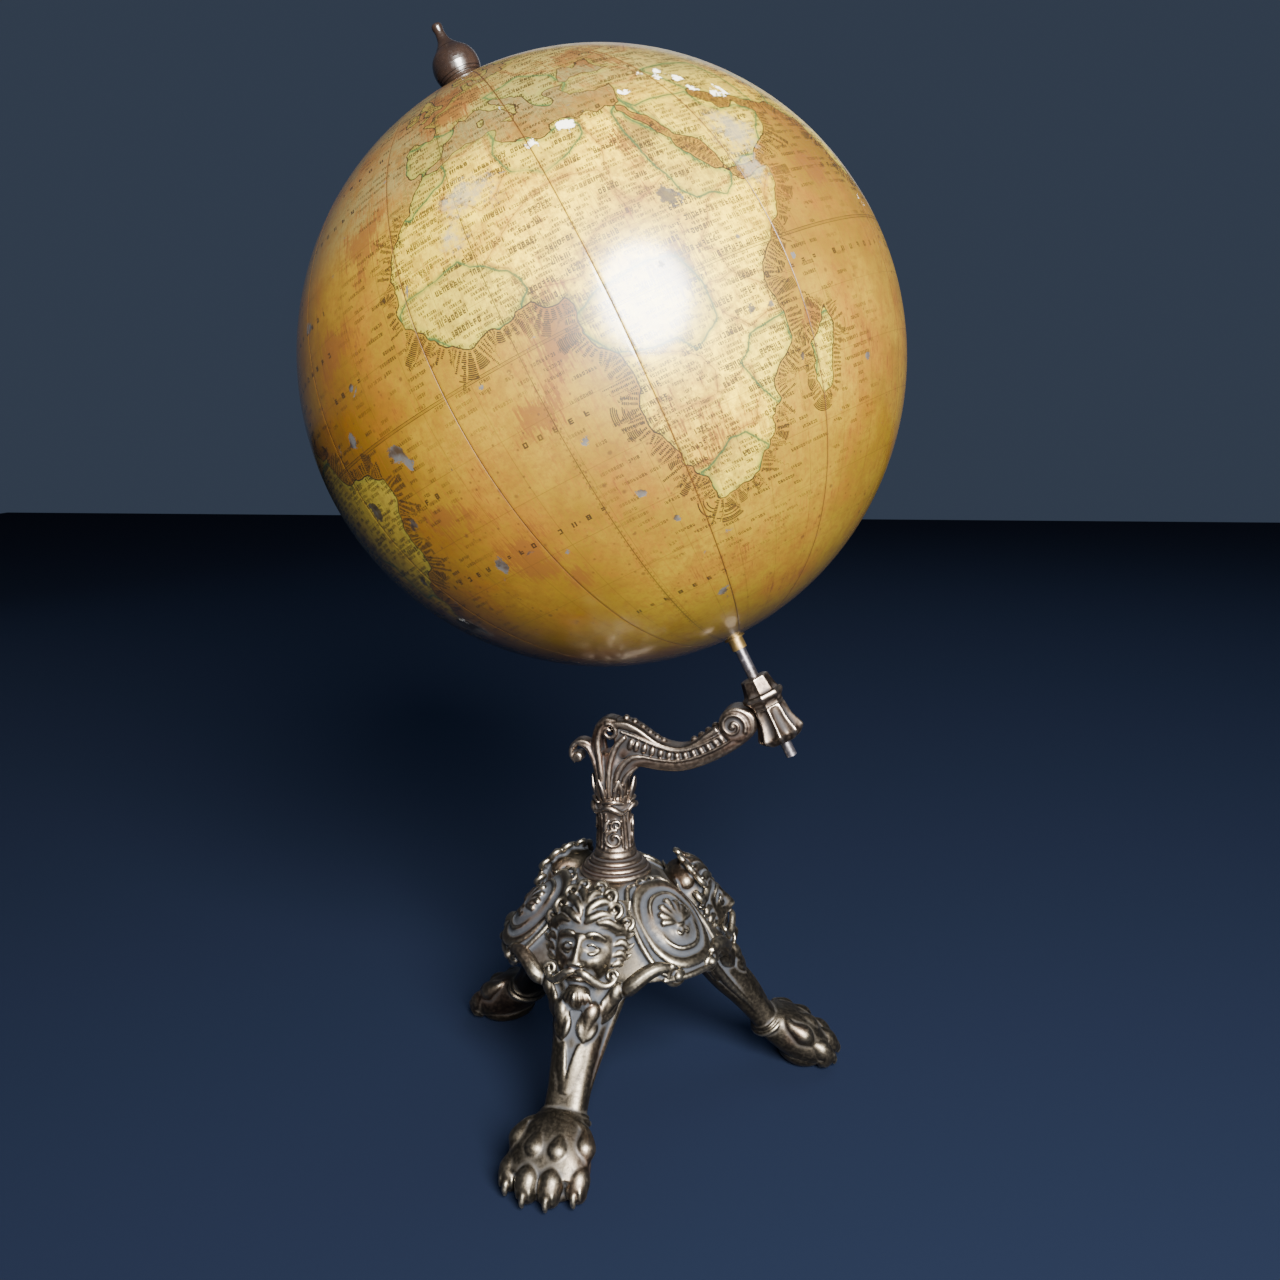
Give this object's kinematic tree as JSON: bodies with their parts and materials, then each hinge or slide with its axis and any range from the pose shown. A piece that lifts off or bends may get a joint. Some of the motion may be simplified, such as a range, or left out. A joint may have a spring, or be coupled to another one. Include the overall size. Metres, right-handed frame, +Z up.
{
  "type": "desktop globe on stand",
  "caption": "Old desk globe with a varnished paper map, turning on an inclined steel axis held by a beaded scroll arm on a cast bronze tripod with masks and lion paws.",
  "frame": {"origin": "on the table under the globe's centre, which is on the post's axis", "axes": "+Z up; +X along the arm, towards the socket"},
  "size_m": [0.3048, 0.3046, 0.5715],
  "materials": {
    "bronze": "worn cast bronze patina with pale bloom in the recesses",
    "bronze_brown": "brown cast bronze patina",
    "iron": "dull dark iron",
    "rod_steel": "darkened, slightly rusty steel",
    "brass": "aged brass",
    "finial_dark": "dark brown polished turning",
    "shell": "papier-mache with plaster",
    "board": "plain board",
    "wood": "plain turned softwood",
    "map_paper": "printed paper under old amber varnish, glossy"
  },
  "bodies": {
    "stand": {"tripod_body": "bronze", "leg_front": "bronze", "leg_right": "bronze", "leg_back": "bronze", "leg_screws": "iron", "base_collar": "bronze_brown", "post": "bronze_brown", "arm": "bronze_brown", "socket_body": "bronze_brown", "socket_cap": "bronze_brown", "tie_rod": "iron", "tie_washer": "iron", "tie_nut": "iron", "axis_rod": "rod_steel", "thrust_collar": "rod_steel", "thrust_washer": "brass", "finial": "finial_dark"},
    "globe": {"north_shell": "shell", "south_shell": "shell", "equator_band": "board", "centre_pillar": "wood", "north_plug": "wood", "south_plug": "wood", "north_bush": "brass", "south_bush": "brass", "map_gores": "map_paper", "polar_calottes": "map_paper"}
  },
  "joints": [
    {"name": "globe_spin", "type": "hinge", "parent": "stand", "child": "globe", "pos_m": [0, 0, 0.3989], "axis": [-0.4384, 0, 0.8988], "continuous": true}
  ]
}
